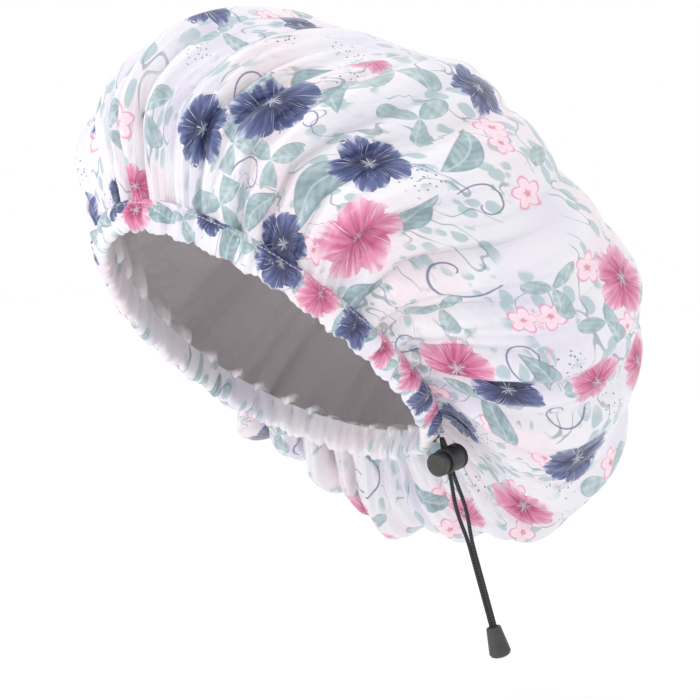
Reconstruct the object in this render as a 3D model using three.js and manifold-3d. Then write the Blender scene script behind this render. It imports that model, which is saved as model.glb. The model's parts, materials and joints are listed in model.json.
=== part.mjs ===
// A gathered satin shower cap: printed outer, lining, drawcord casing, cord lock and bell cord end.
// Millimetres. +Z is up, -Y is the wearer's front, +X is the wearer's left.
// The origin is the middle of the head opening.
import * as THREE from 'three';
import { mergeVertices } from 'three/addons/utils/BufferGeometryUtils.js';
import Module from 'manifold-3d';

const wasm = await Module();
wasm.setup();

// Head opening: the casing's lower edge, a tilted oval from the forehead to the nape
const OPENING_HALF_DEPTH = 84;
const OPENING_HALF_WIDTH = 70;
const OPENING_RISE = 58.5;
const TEMPLE_DIP = 6;

// Slopes of the casing away from upright, as it lies on the head
const FOREHEAD_LEAN_SHARE = 0.12;
const NAPE_LEAN_SHARE = 0.33;
const TEMPLE_LEAN_SHARE = 0.625;
const TEMPLE_FLARE_SHARE = 0.2;

// Casing: a folded satin binding that stands round the cloth edges and holds the cord
const CASING_HEIGHT = 12;
const CASING_WALL = 0.6;
const CASING_PUFF = 5.8;
const CASING_PINCH = 3.8;
const CASING_PUFF_HEIGHT = 6.5;
const CASING_TOE = 2.2;
const CASING_TOE_HEIGHT = 0.4;
const SCALLOP_DROP = 1.4;
const CASING_COLUMNS = 108;

// Gathers: one puff of casing and one pleat of cloth each
const GATHERS = 36;
const STITCH_RIPPLE = 0.9;
const PLEAT_DEPTH = 3.2;
const FOREHEAD_CALM_SHARE = 0.5;
const FOLD_DEPTH = 4.2;
const FOLDS = 18;
const BILLOW_DEPTH = 3.4;
const BILLOWS = 7;

// Cloth layers
const SATIN = 0.6;
const LINING = 0.5;
const CLOTH_GAP = 0.4;
const SEAM_TUCK = 3;
const SEAM_LIFT = 1.5;

// Crown: how far the balloon of cloth reaches from the middle of the opening
const CROWN_FRONT = 85;
const CROWN_BACK = 204;
const CROWN_TOP = 155;
const CROWN_DROOP = 108;
const SIDE_SAG = 10;
const SAG_TURN_SHARE = 118 / 360;
const SAG_SPREAD_SHARE = 26 / 360;
const CROWN_HALF_WIDTH = 128;

// Middle outline from the forehead seam over the top to the nape seam, as shares of those reaches
const OUTLINE_SHARES = [
  [-1, 0.586], [-0.977, 0.745], [-0.648, 0.911], [-0.045, 1], [0.238, 0.968], [0.524, 0.668],
  [0.791, 0.376], [0.942, 0.064], [1, -0.37], [0.908, -0.833], [0.757, -1], [0.636, -0.861],
  [0.573, -0.648], [0.5, -0.481],
];
// Half width of the balloon at even steps of the way from the seam to the pole
const WIDTH_SHARES = [0.715, 0.87, 1, 0.977, 0.8, 0.592, 0.308, 0];
// How deep the pleats, folds and billows are at even steps of the same way
const PLEAT_FADE_SHARES = [0.3, 1, 0.75, 0.3, 0, 0, 0, 0, 0];
const FOLD_FADE_SHARES = [0, 0.5, 1, 0.9, 0.6, 0.3, 0, 0, 0];
const BILLOW_FADE_SHARES = [0, 0.3, 0.7, 1, 1, 0.8, 0.5, 0.2, 0];
const SAG_FADE_SHARES = [0, 1, 0.8, 0.35, 0, 0, 0, 0, 0];
// Cloth rings: share of the way from the seam to the pole, and points round
const RING_SHARES = [0, 0.05, 0.12, 0.21, 0.32, 0.44, 0.57, 0.7, 0.85];
const RING_POINTS = [CASING_COLUMNS, 72, 72, 54, 54, 36, 36, 24, 12];

// Drawcord
const CORD_DIAMETER = 2;
const CORD_SIDES = 8;
const CORD_GAP = 0.3;
const CORD_OUT = 1.2;
const CORD_UP = 5;
const LOOP_STEPS = 80;
const EXIT_TURN_SHARE = 140 / 360;
const EXIT_OUT = 6.8;
const SLOT_LENGTH = 9.4;
const SLOT_HEIGHT = 4.6;
const BEND_LENGTH = 10;
const HEEL_LENGTH = 4.2;

// Tail: the two cord ends that hang from the exit to the bell
const TAIL_LENGTH = 100;
const TAIL_LEAN_SHARE = 0.276;
const STRAND_STEPS = 22;
const BOW_GAP = 1.4;
const BOW_START = 20;
const BOW_END = 52;
const TWIST_LENGTH = 8;

// Cord lock
const LOCK_DROP = 11.5;
const LOCK_TURN_SHARE = 50 / 360;
const BARREL_DIAMETER = 13;
const BARREL_BORE = 10;
const BARREL_FLOOR = 1.2;
const BARREL_BELOW = 8;
const BARREL_ABOVE = 5.4;
const BARREL_EDGE = 1.2;
const GRIP_DEPTH = 0.4;
const GRIP_HEIGHT = 1;
const GRIPS = 3;
const PASSAGE_WIDTH = 7.6;
const PASSAGE_HEIGHT = 5.6;
const PLUNGER_STEM = 9.5;
const PLUNGER_HEAD = 12;
const PLUNGER_HEAD_HEIGHT = 3;
const PLUNGER_DOME = 0.8;
const PLUNGER_LIFT = 3;
const PLUNGER_SOLE = 1.4;
const SPRING_DIAMETER = 7.4;
const SPRING_WIRE = 0.6;
const SPRING_TURNS = 3;
const SPRING_SEAT_GAP = 0.3;

// Bell cord end and the knot inside it
const BELL_LENGTH = 15.4;
const BELL_TOP_DIAMETER = 7.4;
const BELL_FOOT_DIAMETER = 11;
const BELL_EDGE = 2.4;
const BELL_RIM = 0.4;
const BELL_ROOF = 3;
const BELL_FLOOR = 2;
const KNOT_DIAMETER = 5;
const KNOT_HEIGHT = 4.4;
const KNOT_ROOM = 0.4;
const CUT_OVERRUN = 4;
const ROUND_SIDES = 24;

const satinMaterial = new THREE.MeshStandardMaterial({ color: 0xefeaf4, roughness: 0.35, metalness: 0 });
const liningMaterial = new THREE.MeshStandardMaterial({ color: 0xf6ecec, roughness: 0.6, metalness: 0 });
const casingMaterial = new THREE.MeshStandardMaterial({ color: 0xe9e7f1, roughness: 0.35, metalness: 0 });
const cordMaterial = new THREE.MeshStandardMaterial({ color: 0x34302f, roughness: 0.85, metalness: 0 });
const lockMaterial = new THREE.MeshStandardMaterial({ color: 0x3b3a38, roughness: 0.5, metalness: 0 });
const springMaterial = new THREE.MeshStandardMaterial({ color: 0xb9bcc0, roughness: 0.3, metalness: 0.9 });

const cap = new THREE.Group();

function addPiece(parent, name, geometry, material) {
  const mesh = new THREE.Mesh(geometry, material.clone());
  mesh.name = name;
  parent.add(mesh);
  return mesh;
}

// Solids from point lists, and cuts and joins of closed solids
function closedSolid(points, faces) {
  const geometry = new THREE.BufferGeometry();
  geometry.setAttribute('position', new THREE.Float32BufferAttribute(points.flatMap((p) => p.toArray()), 3));
  geometry.setIndex(faces.flat());
  return geometry;
}

function toManifold(geometry) {
  const bare = geometry.clone();
  bare.deleteAttribute('normal');
  bare.deleteAttribute('uv');
  const merged = mergeVertices(bare);
  return new wasm.Manifold(new wasm.Mesh({
    numProp: 3,
    vertProperties: new Float32Array(merged.attributes.position.array),
    triVerts: new Uint32Array(merged.index.array),
  }));
}

function fromManifold(solid) {
  const mesh = solid.getMesh();
  const geometry = new THREE.BufferGeometry();
  geometry.setAttribute('position', new THREE.BufferAttribute(new Float32Array(mesh.vertProperties), mesh.numProp));
  geometry.setIndex(new THREE.BufferAttribute(new Uint32Array(mesh.triVerts), 1));
  return geometry;
}

const cut = (body, ...tools) => fromManifold(tools.reduce((rest, tool) => rest.subtract(toManifold(tool)), toManifold(body)));
const join = (...bodies) => fromManifold(bodies.map(toManifold).reduce((sum, body) => sum.add(body)));

// A value at a share of the way along an evenly spaced table
function alongTable(table, share) {
  const place = Math.min(Math.max(share, 0), 1) * (table.length - 1);
  const start = Math.min(Math.floor(place), table.length - 2);
  const rest = place - start;
  const before = table[Math.max(start - 1, 0)];
  const after = table[Math.min(start + 2, table.length - 1)];
  const [here, next] = [table[start], table[start + 1]];
  const slopeHere = (next - before) / 2;
  const slopeNext = (after - here) / 2;
  const [square, cube] = [rest ** 2, rest ** 3];
  return here * (2 * cube - 3 * square + 1) + slopeHere * (cube - 2 * square + rest)
    + next * (3 * square - 2 * cube) + slopeNext * (cube - square);
}

// Casing frame: points given as out from the head and up from the hem
function hemPoint(turn) {
  return new THREE.Vector3(
    OPENING_HALF_WIDTH * Math.sin(turn),
    -OPENING_HALF_DEPTH * Math.cos(turn),
    OPENING_RISE * Math.cos(turn) - TEMPLE_DIP * Math.sin(turn) ** 2,
  );
}

function casingUp(turn) {
  const middleLean = (FOREHEAD_LEAN_SHARE + NAPE_LEAN_SHARE) / 2;
  const leanSwing = (NAPE_LEAN_SHARE - FOREHEAD_LEAN_SHARE) / 2;
  const lean = middleLean - leanSwing * Math.cos(turn)
    + (TEMPLE_LEAN_SHARE - middleLean) * Math.sin(turn) ** 2;
  return new THREE.Vector3(TEMPLE_FLARE_SHARE * Math.sin(turn), lean, 1).normalize();
}

function hemDirection(turn) {
  return new THREE.Vector3(
    OPENING_HALF_WIDTH * Math.cos(turn),
    OPENING_HALF_DEPTH * Math.sin(turn),
    -OPENING_RISE * Math.sin(turn) - 2 * TEMPLE_DIP * Math.sin(turn) * Math.cos(turn),
  ).normalize();
}

const casingOut = (turn) => hemDirection(turn).cross(casingUp(turn)).normalize();

function casingPoint(turn, out, up) {
  return hemPoint(turn).addScaledVector(casingOut(turn), out).addScaledVector(casingUp(turn), up);
}

// 1 in the middle of a puff, 0 where the stitches pinch it
const puff = (turn) => Math.abs(Math.cos(turn * GATHERS / 2));
const ripple = (turn) => STITCH_RIPPLE * (puff(turn) - 0.5);
const SEAM_UP = CASING_HEIGHT + SEAM_LIFT;
const seamPoint = (turn) => casingPoint(turn, 0, SEAM_UP);

// Crown surface: each ring of cloth joins the front and the back of the middle outline
const reachOf = ([along, above]) => new THREE.Vector3(
  0,
  along * (along < 0 ? CROWN_FRONT : CROWN_BACK),
  above * (above < 0 ? CROWN_DROOP : CROWN_TOP),
);
const middleOutline = new THREE.CatmullRomCurve3(
  [seamPoint(0), ...OUTLINE_SHARES.map(reachOf), seamPoint(Math.PI)],
  false,
  'centripetal',
);
middleOutline.arcLengthDivisions = 600;
const seamHalfWidth = seamPoint(Math.PI / 2).x;
const halfWidths = [seamHalfWidth, ...WIDTH_SHARES.map((share) => share * CROWN_HALF_WIDTH)];

function balloonPoint(turn, rise) {
  const front = middleOutline.getPointAt(rise / 2);
  const back = middleOutline.getPointAt(1 - rise / 2);
  const point = front.clone().add(back).multiplyScalar(1 / 2);
  point.addScaledVector(front.sub(back), Math.cos(turn) / 2);
  point.x = alongTable(halfWidths, rise) * Math.sin(turn);
  return point;
}

const SEAM_BLEND_SHARE = 0.3;

// Loose cloth sinks below the casing behind each ear
function sagDepth(turn, rise) {
  const fromEar = (Math.acos(Math.cos(turn)) / (2 * Math.PI) - SAG_TURN_SHARE) / SAG_SPREAD_SHARE;
  return SIDE_SAG * alongTable(SAG_FADE_SHARES, rise) * Math.exp(-(fromEar ** 2));
}

function crownPoint(turn, rise) {
  const blend = Math.max(0, 1 - rise / SEAM_BLEND_SHARE) ** 2;
  const point = balloonPoint(turn, rise).addScaledVector(seamPoint(turn).sub(balloonPoint(turn, 0)), blend);
  point.z -= sagDepth(turn, rise);
  return point;
}

const PROBE_SHARE = 0.004;

function crownNormal(turn, rise) {
  const across = crownPoint(turn + PROBE_SHARE, rise).sub(crownPoint(turn - PROBE_SHARE, rise));
  const along = crownPoint(turn, Math.min(rise + PROBE_SHARE, 1)).sub(crownPoint(turn, rise - PROBE_SHARE));
  return across.cross(along).normalize();
}

// At the seam the layers turn from the casing's way to the crown's
function seamNormal(turn) {
  const out = casingOut(turn);
  const mitre = out.clone().add(crownNormal(turn, RING_SHARES[1])).normalize();
  return mitre.divideScalar(Math.max(mitre.dot(out), 1 / 2));
}

// Pleats fan out from every gather, merge into folds and fade into billows
function gatherDepth(turn, rise) {
  const uneven = 1 + Math.sin(5 * turn + 1) / 4;
  const calm = 1 - FOREHEAD_CALM_SHARE * Math.max(0, Math.cos(turn)) ** 2;
  const pleat = PLEAT_DEPTH * alongTable(PLEAT_FADE_SHARES, rise) * (2 * puff(turn) - 1) * uneven * calm;
  const fold = FOLD_DEPTH * alongTable(FOLD_FADE_SHARES, rise) * Math.cos(FOLDS * turn) * (2 - uneven);
  const billow = BILLOW_DEPTH * alongTable(BILLOW_FADE_SHARES, rise) * Math.sin(BILLOWS * turn + 2);
  return pleat + fold + billow;
}

function ringTurns(count) {
  const shift = count === CASING_COLUMNS ? 1 / 2 : 0;
  return Array.from({ length: count }, (_, index) => (2 * Math.PI * (index + shift)) / count);
}

// Triangles between two rings of points that may differ in number
function stripFaces(lower, upper) {
  const faces = [];
  let [i, j] = [0, 0];
  while (i < lower.turns.length || j < upper.turns.length) {
    const nextLower = i < lower.turns.length ? (lower.turns[i + 1] ?? lower.turns[0] + 2 * Math.PI) : Infinity;
    const nextUpper = j < upper.turns.length ? (upper.turns[j + 1] ?? upper.turns[0] + 2 * Math.PI) : Infinity;
    const a = lower.first + (i % lower.turns.length);
    const b = upper.first + (j % upper.turns.length);
    if (nextLower <= nextUpper) {
      i += 1;
      faces.push([a, lower.first + (i % lower.turns.length), b]);
    } else {
      j += 1;
      faces.push([a, upper.first + (j % upper.turns.length), b]);
    }
  }
  return faces;
}

// One layer of cloth between two distances from the middle surface, open at the head
function clothLayer(outside, inside) {
  const points = [];
  const skins = [outside, inside].map((offset) => {
    const rings = [{ turns: ringTurns(CASING_COLUMNS), first: points.length }];
    rings[0].turns.forEach((turn) => points.push(casingPoint(turn, offset + ripple(turn), CASING_HEIGHT - SEAM_TUCK)));
    RING_SHARES.forEach((rise, row) => {
      const ring = { turns: ringTurns(RING_POINTS[row]), first: points.length };
      ring.turns.forEach((turn) => {
        points.push(row === 0
          ? casingPoint(turn, ripple(turn), SEAM_UP).addScaledVector(seamNormal(turn), offset)
          : crownPoint(turn, rise).addScaledVector(crownNormal(turn, rise), offset + gatherDepth(turn, rise)));
      });
      rings.push(ring);
    });
    const slope = middleOutline.getTangentAt(1 / 2);
    points.push(middleOutline.getPointAt(1 / 2).addScaledVector(new THREE.Vector3(0, -slope.z, slope.y), offset));
    return { rings, pole: points.length - 1 };
  });
  const faces = [];
  skins.forEach(({ rings, pole }, side) => {
    const skin = rings.slice(1).flatMap((ring, row) => stripFaces(rings[row], ring));
    const last = rings.at(-1);
    last.turns.forEach((_, index) => {
      skin.push([last.first + index, last.first + ((index + 1) % last.turns.length), pole]);
    });
    faces.push(...skin.map(([a, b, c]) => (side === 0 ? [a, b, c] : [a, c, b])));
  });
  const [outer, inner] = skins.map(({ rings }) => rings[0]);
  faces.push(...stripFaces(outer, inner).map(([a, b, c]) => [a, c, b]));
  return closedSolid(points, faces);
}

const satinIn = CLOTH_GAP / 2;
const outerShell = clothLayer(satinIn + SATIN, satinIn);
const lining = clothLayer(-satinIn, -satinIn - LINING);

// Casing: a U of satin whose legs stand either side of the cloth edges
const legIn = satinIn + SATIN + CLOTH_GAP;
const legBack = satinIn + LINING + CLOTH_GAP;

function casingSection(turn) {
  const fullness = puff(turn);
  const belly = CASING_PINCH + (CASING_PUFF - CASING_PINCH) * fullness;
  const toeUp = CASING_TOE_HEIGHT - SCALLOP_DROP * fullness;
  const shift = ripple(turn);
  return [
    [legIn + CASING_WALL + shift, CASING_HEIGHT],
    [legIn + shift, CASING_HEIGHT],
    [belly - CASING_WALL, CASING_PUFF_HEIGHT],
    [CASING_TOE - CASING_WALL, toeUp + CASING_WALL],
    [-CASING_TOE + CASING_WALL, toeUp + CASING_WALL],
    [-legBack + shift, CASING_HEIGHT],
    [-legBack - CASING_WALL + shift, CASING_HEIGHT],
    [-CASING_TOE, toeUp],
    [CASING_TOE, toeUp],
    [belly, CASING_PUFF_HEIGHT],
  ].map(([out, up]) => casingPoint(turn, out, up));
}

function sweptRing(sectionAt, turns) {
  const sections = turns.map(sectionAt);
  const size = sections[0].length;
  const faces = [];
  sections.forEach((_, column) => {
    const next = (column + 1) % sections.length;
    for (let edge = 0; edge < size; edge += 1) {
      const after = (edge + 1) % size;
      const [a, b] = [column * size + edge, column * size + after];
      const [c, d] = [next * size + edge, next * size + after];
      faces.push([a, c, b], [b, c, d]);
    }
  });
  return closedSolid(sections.flat(), faces);
}

// Exit: where both cord ends leave the casing, and the tail's own axes there
const exitTurn = EXIT_TURN_SHARE * 2 * Math.PI;
const exitPoint = casingPoint(exitTurn, EXIT_OUT, CORD_UP);
const exitAlong = hemDirection(exitTurn);
const up = new THREE.Vector3(0, 0, 1);
const swingAxis = new THREE.Vector3(exitAlong.x, exitAlong.y, 0).normalize();
const outward = new THREE.Vector3().crossVectors(swingAxis, up).normalize();
const tailDown = outward.clone().multiplyScalar(TAIL_LEAN_SHARE).sub(up).normalize();

const slotDepth = EXIT_OUT - CASING_TOE;
const slotTool = new THREE.BoxGeometry(SLOT_LENGTH, SLOT_HEIGHT, slotDepth);
slotTool.applyMatrix4(new THREE.Matrix4().makeBasis(exitAlong, casingUp(exitTurn), casingOut(exitTurn)));
slotTool.translate(...casingPoint(exitTurn, CASING_TOE + slotDepth / 2, CORD_UP).toArray());
const edgeCasing = cut(sweptRing(casingSection, ringTurns(CASING_COLUMNS)), slotTool);

// Drawcord loop: round the casing, with both ends turned out through the slot
class CordRoute extends THREE.Curve {
  constructor(points) {
    super();
    this.spine = new THREE.CatmullRomCurve3(points, false, 'centripetal');
    this.count = points.length - 1;
  }

  getPoint(share) {
    return this.spine.getPoint(share);
  }

  getPointAt(share) {
    return this.spine.getPoint(share);
  }

  getTangentAt(share) {
    return this.spine.getTangent(share);
  }
}

function cordBody(points) {
  const section = new THREE.Shape(Array.from({ length: CORD_SIDES }, (_, side) => {
    const angle = (2 * Math.PI * (side + 1 / 2)) / CORD_SIDES;
    return new THREE.Vector2(Math.cos(angle), Math.sin(angle)).multiplyScalar(CORD_DIAMETER / 2);
  }));
  return new THREE.ExtrudeGeometry(section, {
    extrudePath: new CordRoute(points),
    steps: points.length - 1,
    bevelEnabled: false,
  });
}

const cordPitch = CORD_DIAMETER + CORD_GAP;
const endBack = CORD_DIAMETER / 2 + CORD_GAP;
const exitOut = casingOut(exitTurn);
const sideways = swingAxis.clone().negate();
const strandSide = (side) => exitPoint.clone().addScaledVector(sideways, side * cordPitch / 2);

const openingHalfLength = Math.hypot(OPENING_HALF_DEPTH, OPENING_RISE);
const circuit = 2 * Math.PI * Math.hypot(openingHalfLength, OPENING_HALF_WIDTH) / Math.SQRT2;
const turnOf = (length) => (2 * Math.PI * length) / circuit;

function loopEnd(side) {
  const tip = strandSide(side).addScaledVector(exitOut, -endBack);
  const knee = tip.clone().addScaledVector(exitOut, -CORD_DIAMETER);
  const heel = casingPoint(exitTurn - side * turnOf(HEEL_LENGTH), CORD_OUT, CORD_UP);
  return [tip, knee, heel];
}

function loopPoints() {
  const bendTurn = turnOf(BEND_LENGTH);
  const steps = LOOP_STEPS - 6;
  const ring = Array.from({ length: steps + 1 }, (_, index) => {
    const turn = exitTurn + bendTurn + ((2 * Math.PI - 2 * bendTurn) * index) / steps;
    return casingPoint(turn, CORD_OUT, CORD_UP);
  });
  return [...loopEnd(-1), ...ring, ...loopEnd(1).reverse()];
}

const drawcordLoop = cordBody(loopPoints());

// Tail axes: down along the cords, the plunger's way, and the way the cords lie side by side
const inward = new THREE.Vector3().crossVectors(swingAxis, tailDown);
const turned = LOCK_TURN_SHARE * 2 * Math.PI;
const plungerWay = inward.clone().multiplyScalar(Math.cos(turned)).addScaledVector(sideways, Math.sin(turned));
const pairWay = new THREE.Vector3().crossVectors(plungerWay, tailDown);

const tail = new THREE.Group();
const tailFrame = new THREE.Matrix4().makeBasis(pairWay, tailDown.clone().negate(), plungerWay);
tail.quaternion.setFromRotationMatrix(tailFrame);
tail.position.copy(exitPoint);
cap.add(tail);

// Strands, in the tail's frame: x side by side, y up the cords, z the plunger's way
function strandPoints(side) {
  return Array.from({ length: STRAND_STEPS + 1 }, (_, index) => {
    const down = (TAIL_LENGTH * index) / STRAND_STEPS;
    const twist = turned * Math.max(0, 1 - down / TWIST_LENGTH) ** 2;
    const bow = Math.min(Math.max((down - BOW_START) / (BOW_END - BOW_START), 0), 1);
    const spread = (cordPitch + BOW_GAP * Math.sin(Math.PI * bow) ** 2) / 2;
    return new THREE.Vector3(side * spread * Math.cos(twist), -down, side * spread * Math.sin(twist));
  });
}

const strandDome = (side) => new THREE.SphereGeometry(CORD_DIAMETER / 2, CORD_SIDES, CORD_SIDES / 2)
  .translate(...strandPoints(side)[0].toArray());
const strands = [1, -1].map((side) => join(cordBody(strandPoints(side)), strandDome(side)));

// Cord lock, in its own frame: z is the plunger's way, y up the cords
const lockLift = -PLUNGER_LIFT / 2;
const lock = new THREE.Group();
lock.position.set(0, -LOCK_DROP, lockLift);
tail.add(lock);

function upright(profile) {
  const closed = [...profile, profile[0]].map(([radius, height]) => new THREE.Vector2(radius, height));
  return fromManifold(toManifold(new THREE.LatheGeometry(closed, ROUND_SIDES)));
}

const revolved = (profile) => upright(profile).rotateX(Math.PI / 2);

function passageTool(centre) {
  const corner = PASSAGE_HEIGHT / 2;
  const straight = PASSAGE_WIDTH / 2 - corner;
  const outline = new THREE.Shape();
  outline.absarc(straight, 0, corner, -Math.PI / 2, Math.PI / 2, false);
  outline.absarc(-straight, 0, corner, Math.PI / 2, (3 * Math.PI) / 2, false);
  outline.closePath();
  const depth = BARREL_DIAMETER + 2 * CUT_OVERRUN;
  const tool = new THREE.ExtrudeGeometry(outline, { depth, bevelEnabled: false, curveSegments: ROUND_SIDES / 4 });
  return tool.translate(0, 0, -depth / 2).rotateX(Math.PI / 2).translate(0, 0, centre);
}

const barrelRadius = BARREL_DIAMETER / 2;

function gripGroove(index) {
  const pitch = (BARREL_BELOW - PASSAGE_HEIGHT / 2 - 2 * BARREL_EDGE) / GRIPS;
  const low = -BARREL_BELOW + BARREL_EDGE + pitch * (index + 1 / 2) - GRIP_HEIGHT / 2;
  return revolved([
    [barrelRadius - GRIP_DEPTH, low + GRIP_HEIGHT / 4],
    [barrelRadius + CUT_OVERRUN, low],
    [barrelRadius + CUT_OVERRUN, low + GRIP_HEIGHT],
    [barrelRadius - GRIP_DEPTH, low + (3 * GRIP_HEIGHT) / 4],
  ]);
}

const barrelSkin = revolved([
  [0, -BARREL_BELOW],
  [barrelRadius - BARREL_EDGE, -BARREL_BELOW],
  [barrelRadius, -BARREL_BELOW + BARREL_EDGE],
  [barrelRadius, BARREL_ABOVE - BARREL_EDGE / 2],
  [barrelRadius - BARREL_EDGE / 2, BARREL_ABOVE],
  [BARREL_BORE / 2, BARREL_ABOVE],
  [BARREL_BORE / 2, -BARREL_BELOW + BARREL_FLOOR],
  [0, -BARREL_BELOW + BARREL_FLOOR],
]);
const lockBarrel = cut(
  barrelSkin,
  passageTool(0),
  ...Array.from({ length: GRIPS }, (_, index) => gripGroove(index)),
);

// Plunger: the spring holds its passage off the barrel's, so the cords are pinched between them
const stemFoot = PLUNGER_LIFT - PASSAGE_HEIGHT / 2 - PLUNGER_SOLE;
const headFoot = BARREL_ABOVE + PLUNGER_LIFT + CORD_GAP;
const headTop = headFoot + PLUNGER_HEAD_HEIGHT;
const plungerSkin = revolved([
  [0, stemFoot],
  [PLUNGER_STEM / 2 - BARREL_EDGE / 2, stemFoot],
  [PLUNGER_STEM / 2, stemFoot + BARREL_EDGE / 2],
  [PLUNGER_STEM / 2, headFoot],
  [PLUNGER_HEAD / 2, headFoot],
  [PLUNGER_HEAD / 2, headTop - PLUNGER_DOME],
  [PLUNGER_HEAD / 2 - PLUNGER_DOME, headTop],
  [PLUNGER_STEM / 4, headTop + PLUNGER_DOME / 4],
  [0, headTop + PLUNGER_DOME / 3],
]);
const lockPlunger = cut(plungerSkin, passageTool(PLUNGER_LIFT));

// Spring between the barrel's floor and the plunger's sole
const springFoot = -BARREL_BELOW + BARREL_FLOOR + SPRING_SEAT_GAP + SPRING_WIRE / 2;
const springTop = stemFoot - SPRING_SEAT_GAP - SPRING_WIRE / 2;

class Coil extends THREE.Curve {
  getPoint(share) {
    const angle = 2 * Math.PI * SPRING_TURNS * share;
    const radius = (SPRING_DIAMETER - SPRING_WIRE) / 2;
    const height = springFoot + (springTop - springFoot) * share;
    return new THREE.Vector3(radius * Math.cos(angle), radius * Math.sin(angle), height);
  }
}

const springSides = 5;
const springSection = new THREE.Shape(Array.from({ length: springSides }, (_, side) => {
  const angle = (2 * Math.PI * side) / springSides;
  return new THREE.Vector2(Math.cos(angle), Math.sin(angle)).multiplyScalar(SPRING_WIRE / 2);
}));
const lockSpring = new THREE.ExtrudeGeometry(springSection, {
  extrudePath: new Coil(),
  steps: 10 * SPRING_TURNS,
  bevelEnabled: false,
});

// Bell and knot, at the tail's foot
const bellRoof = -TAIL_LENGTH + BELL_ROOF + KNOT_ROOM;
const bellFoot = bellRoof - BELL_LENGTH;
const bellHole = CORD_DIAMETER + CORD_GAP / 2 + CORD_GAP;
const bellRoom = KNOT_DIAMETER / 2 + KNOT_ROOM;
const roofUnder = bellRoof - BELL_ROOF;
const knotTop = -TAIL_LENGTH - CORD_GAP;
const footRadius = BELL_FOOT_DIAMETER / 2;
const mouthRadius = BELL_TOP_DIAMETER / 2;

const cordEndBell = upright([
  [bellHole, roofUnder],
  [bellRoom, roofUnder],
  [footRadius - BELL_EDGE, bellFoot + BELL_EDGE],
  [footRadius - BELL_EDGE, bellFoot + BELL_FLOOR],
  [0, bellFoot + BELL_FLOOR],
  [0, bellFoot],
  [footRadius - BELL_EDGE, bellFoot],
  [footRadius - BELL_EDGE / 3, bellFoot + BELL_EDGE / 3],
  [footRadius, bellFoot + BELL_EDGE],
  [mouthRadius, bellRoof - BELL_RIM],
  [mouthRadius - BELL_RIM, bellRoof],
  [bellHole + BELL_RIM, bellRoof],
  [bellHole, bellRoof - BELL_RIM],
]);

const cordKnot = new THREE.SphereGeometry(1 / 2, ROUND_SIDES / 2, ROUND_SIDES / 4)
  .scale(KNOT_DIAMETER, KNOT_HEIGHT, KNOT_DIAMETER)
  .translate(0, knotTop - KNOT_HEIGHT / 2, 0);

addPiece(cap, 'outer_shell', outerShell, satinMaterial);
addPiece(cap, 'lining', lining, liningMaterial);
addPiece(cap, 'edge_casing', edgeCasing, casingMaterial);
addPiece(cap, 'drawcord_loop', drawcordLoop, cordMaterial);
addPiece(tail, 'cord_strand_left', strands[0], cordMaterial);
addPiece(tail, 'cord_strand_right', strands[1], cordMaterial);
addPiece(tail, 'cord_knot', cordKnot, cordMaterial);
addPiece(tail, 'cord_end_bell', cordEndBell, lockMaterial);
addPiece(lock, 'lock_barrel', lockBarrel, lockMaterial);
addPiece(lock, 'lock_plunger', lockPlunger, lockMaterial);
addPiece(lock, 'lock_spring', lockSpring, springMaterial);

export default cap;
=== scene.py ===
import functools
import json
import math
import bpy
import numpy as np
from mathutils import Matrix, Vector


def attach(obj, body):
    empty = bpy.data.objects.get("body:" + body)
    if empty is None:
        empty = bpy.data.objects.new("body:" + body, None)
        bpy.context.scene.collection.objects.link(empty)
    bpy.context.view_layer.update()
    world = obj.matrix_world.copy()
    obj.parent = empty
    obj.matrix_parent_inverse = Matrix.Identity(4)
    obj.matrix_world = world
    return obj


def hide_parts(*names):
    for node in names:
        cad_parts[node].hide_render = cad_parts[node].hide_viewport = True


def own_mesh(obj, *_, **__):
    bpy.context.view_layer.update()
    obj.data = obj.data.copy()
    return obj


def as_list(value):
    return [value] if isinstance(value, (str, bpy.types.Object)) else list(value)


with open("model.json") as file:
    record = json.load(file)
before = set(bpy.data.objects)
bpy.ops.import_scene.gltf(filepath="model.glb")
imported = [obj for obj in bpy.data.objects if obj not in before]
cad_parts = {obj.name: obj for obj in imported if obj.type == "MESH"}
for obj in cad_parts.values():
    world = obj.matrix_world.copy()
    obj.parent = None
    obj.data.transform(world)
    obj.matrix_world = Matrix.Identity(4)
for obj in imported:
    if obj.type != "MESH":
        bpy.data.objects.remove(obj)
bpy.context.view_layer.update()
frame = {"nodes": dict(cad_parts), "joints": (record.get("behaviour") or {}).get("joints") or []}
mm = 0.001
fullTurn = 2 * math.pi

# the camera stands where the photograph was taken
camera = {
    "azimuth": 43.5, "elevation": 3.7, "distance": 1.25, "frameWidth": 0.336, "shift": (0.1186, -0.0043),
    "sensor": 36, "clip": (0.05, 30),
}


def addCamera():
    azimuth, elevation = math.radians(camera["azimuth"]), math.radians(camera["elevation"])
    level = math.cos(elevation)
    back = Vector((math.sin(azimuth) * level, -math.cos(azimuth) * level, math.sin(elevation)))
    data = bpy.data.cameras.new("studioCamera")
    data.sensor_width = camera["sensor"]
    data.lens = camera["sensor"] * camera["distance"] / camera["frameWidth"]
    data.shift_x, data.shift_y = camera["shift"]
    data.clip_start, data.clip_end = camera["clip"]
    rig = bpy.data.objects.new("studioCamera", data)
    rig.location = back * camera["distance"]
    rig.rotation_euler = back.to_track_quat("Z", "Y").to_euler()
    bpy.context.scene.collection.objects.link(rig)
    bpy.context.scene.camera = rig


addCamera()


def unit(vectors):
    return vectors / np.maximum(np.linalg.norm(vectors, axis=-1, keepdims=True), 1e-9)


def newPiece(name, points, faces, smooth=True):
    mesh = bpy.data.meshes.new(name)
    mesh.from_pydata((np.asarray(points) * mm).tolist(), [], [list(map(int, f)) for f in faces])
    mesh.validate()
    if smooth:
        mesh.shade_smooth()
    piece = bpy.data.objects.new(name, mesh)
    bpy.context.scene.collection.objects.link(piece)
    return piece


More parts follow.
